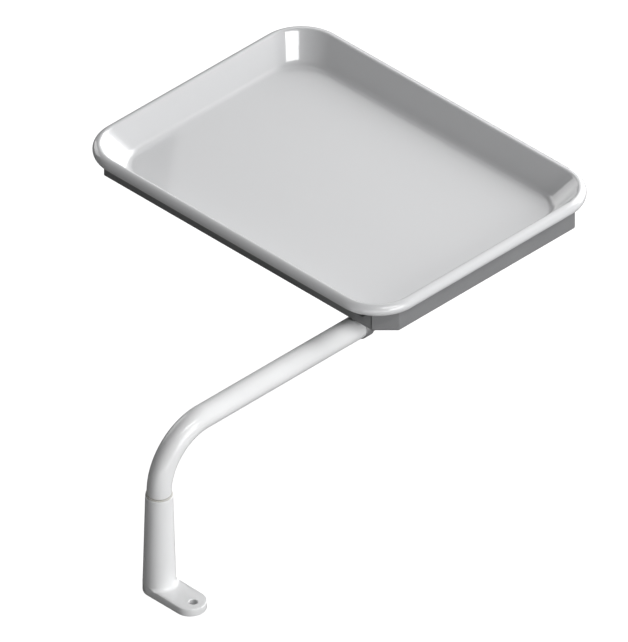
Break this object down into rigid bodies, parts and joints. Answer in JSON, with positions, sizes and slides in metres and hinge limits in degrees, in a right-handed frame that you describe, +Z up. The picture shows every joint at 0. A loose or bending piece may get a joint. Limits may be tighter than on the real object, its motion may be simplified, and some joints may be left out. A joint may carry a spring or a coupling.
{
  "type": "dental instrument tray on a swivel arm",
  "caption": "Deep rectangular dental tray with rounded corners in a sheet-metal holder, carried by a bent tube arm that swivels on a short post with a one-hole foot.",
  "frame": {"origin": "centre of the foot's hole, on the foot's underside", "axes": "+X along the tray's long side, +Y the way the arm reaches, +Z up out of the foot"},
  "size_m": [0.3423, 0.4658, 0.182],
  "materials": {
    "tray_plastic": "smooth gloss",
    "holder_paint": "satin powder coat",
    "arm_paint": "gloss enamel",
    "steel": "bright turned",
    "nylon": "moulded matte",
    "pad_rubber": "matte"
  },
  "bodies": {
    "base": {"foot_post": "arm_paint", "upper_bush": "nylon", "lower_bush": "nylon", "thrust_washer": "nylon", "stop_screw": "steel"},
    "arm": {"arm_tube": "arm_paint", "arm_spigot": "steel", "tube_ferrule": "steel", "pivot_hub": "arm_paint", "hub_screw": "steel", "hub_bush": "nylon", "hub_cap": "nylon"},
    "holder": {"holder_pan": "holder_paint", "hub_plate": "steel", "pivot_stud": "steel", "friction_washer": "nylon", "spring_washer": "steel", "flat_washer": "steel", "lock_nut": "steel", "plate_rivet_1": "steel", "plate_rivet_2": "steel", "plate_rivet_3": "steel", "plate_rivet_4": "steel", "tray_pad_1": "pad_rubber", "tray_pad_2": "pad_rubber", "tray_pad_3": "pad_rubber", "tray_pad_4": "pad_rubber"},
    "tray": {"tray": "tray_plastic"}
  },
  "joints": [
    {"name": "arm_swivel", "type": "hinge", "parent": "base", "child": "arm", "pos_m": [-0.0375, 0, 0.06], "axis": [0, 0, 1], "range_deg": [-150, 150]},
    {"name": "holder_swivel", "type": "hinge", "parent": "arm", "child": "holder", "pos_m": [-0.0375, 0.2585, 0.145], "axis": [0, 0, 1], "continuous": true},
    {"name": "tray_lift", "type": "slide", "parent": "holder", "child": "tray", "axis": [0, 0, 1], "range_m": [0, 0.06]}
  ]
}
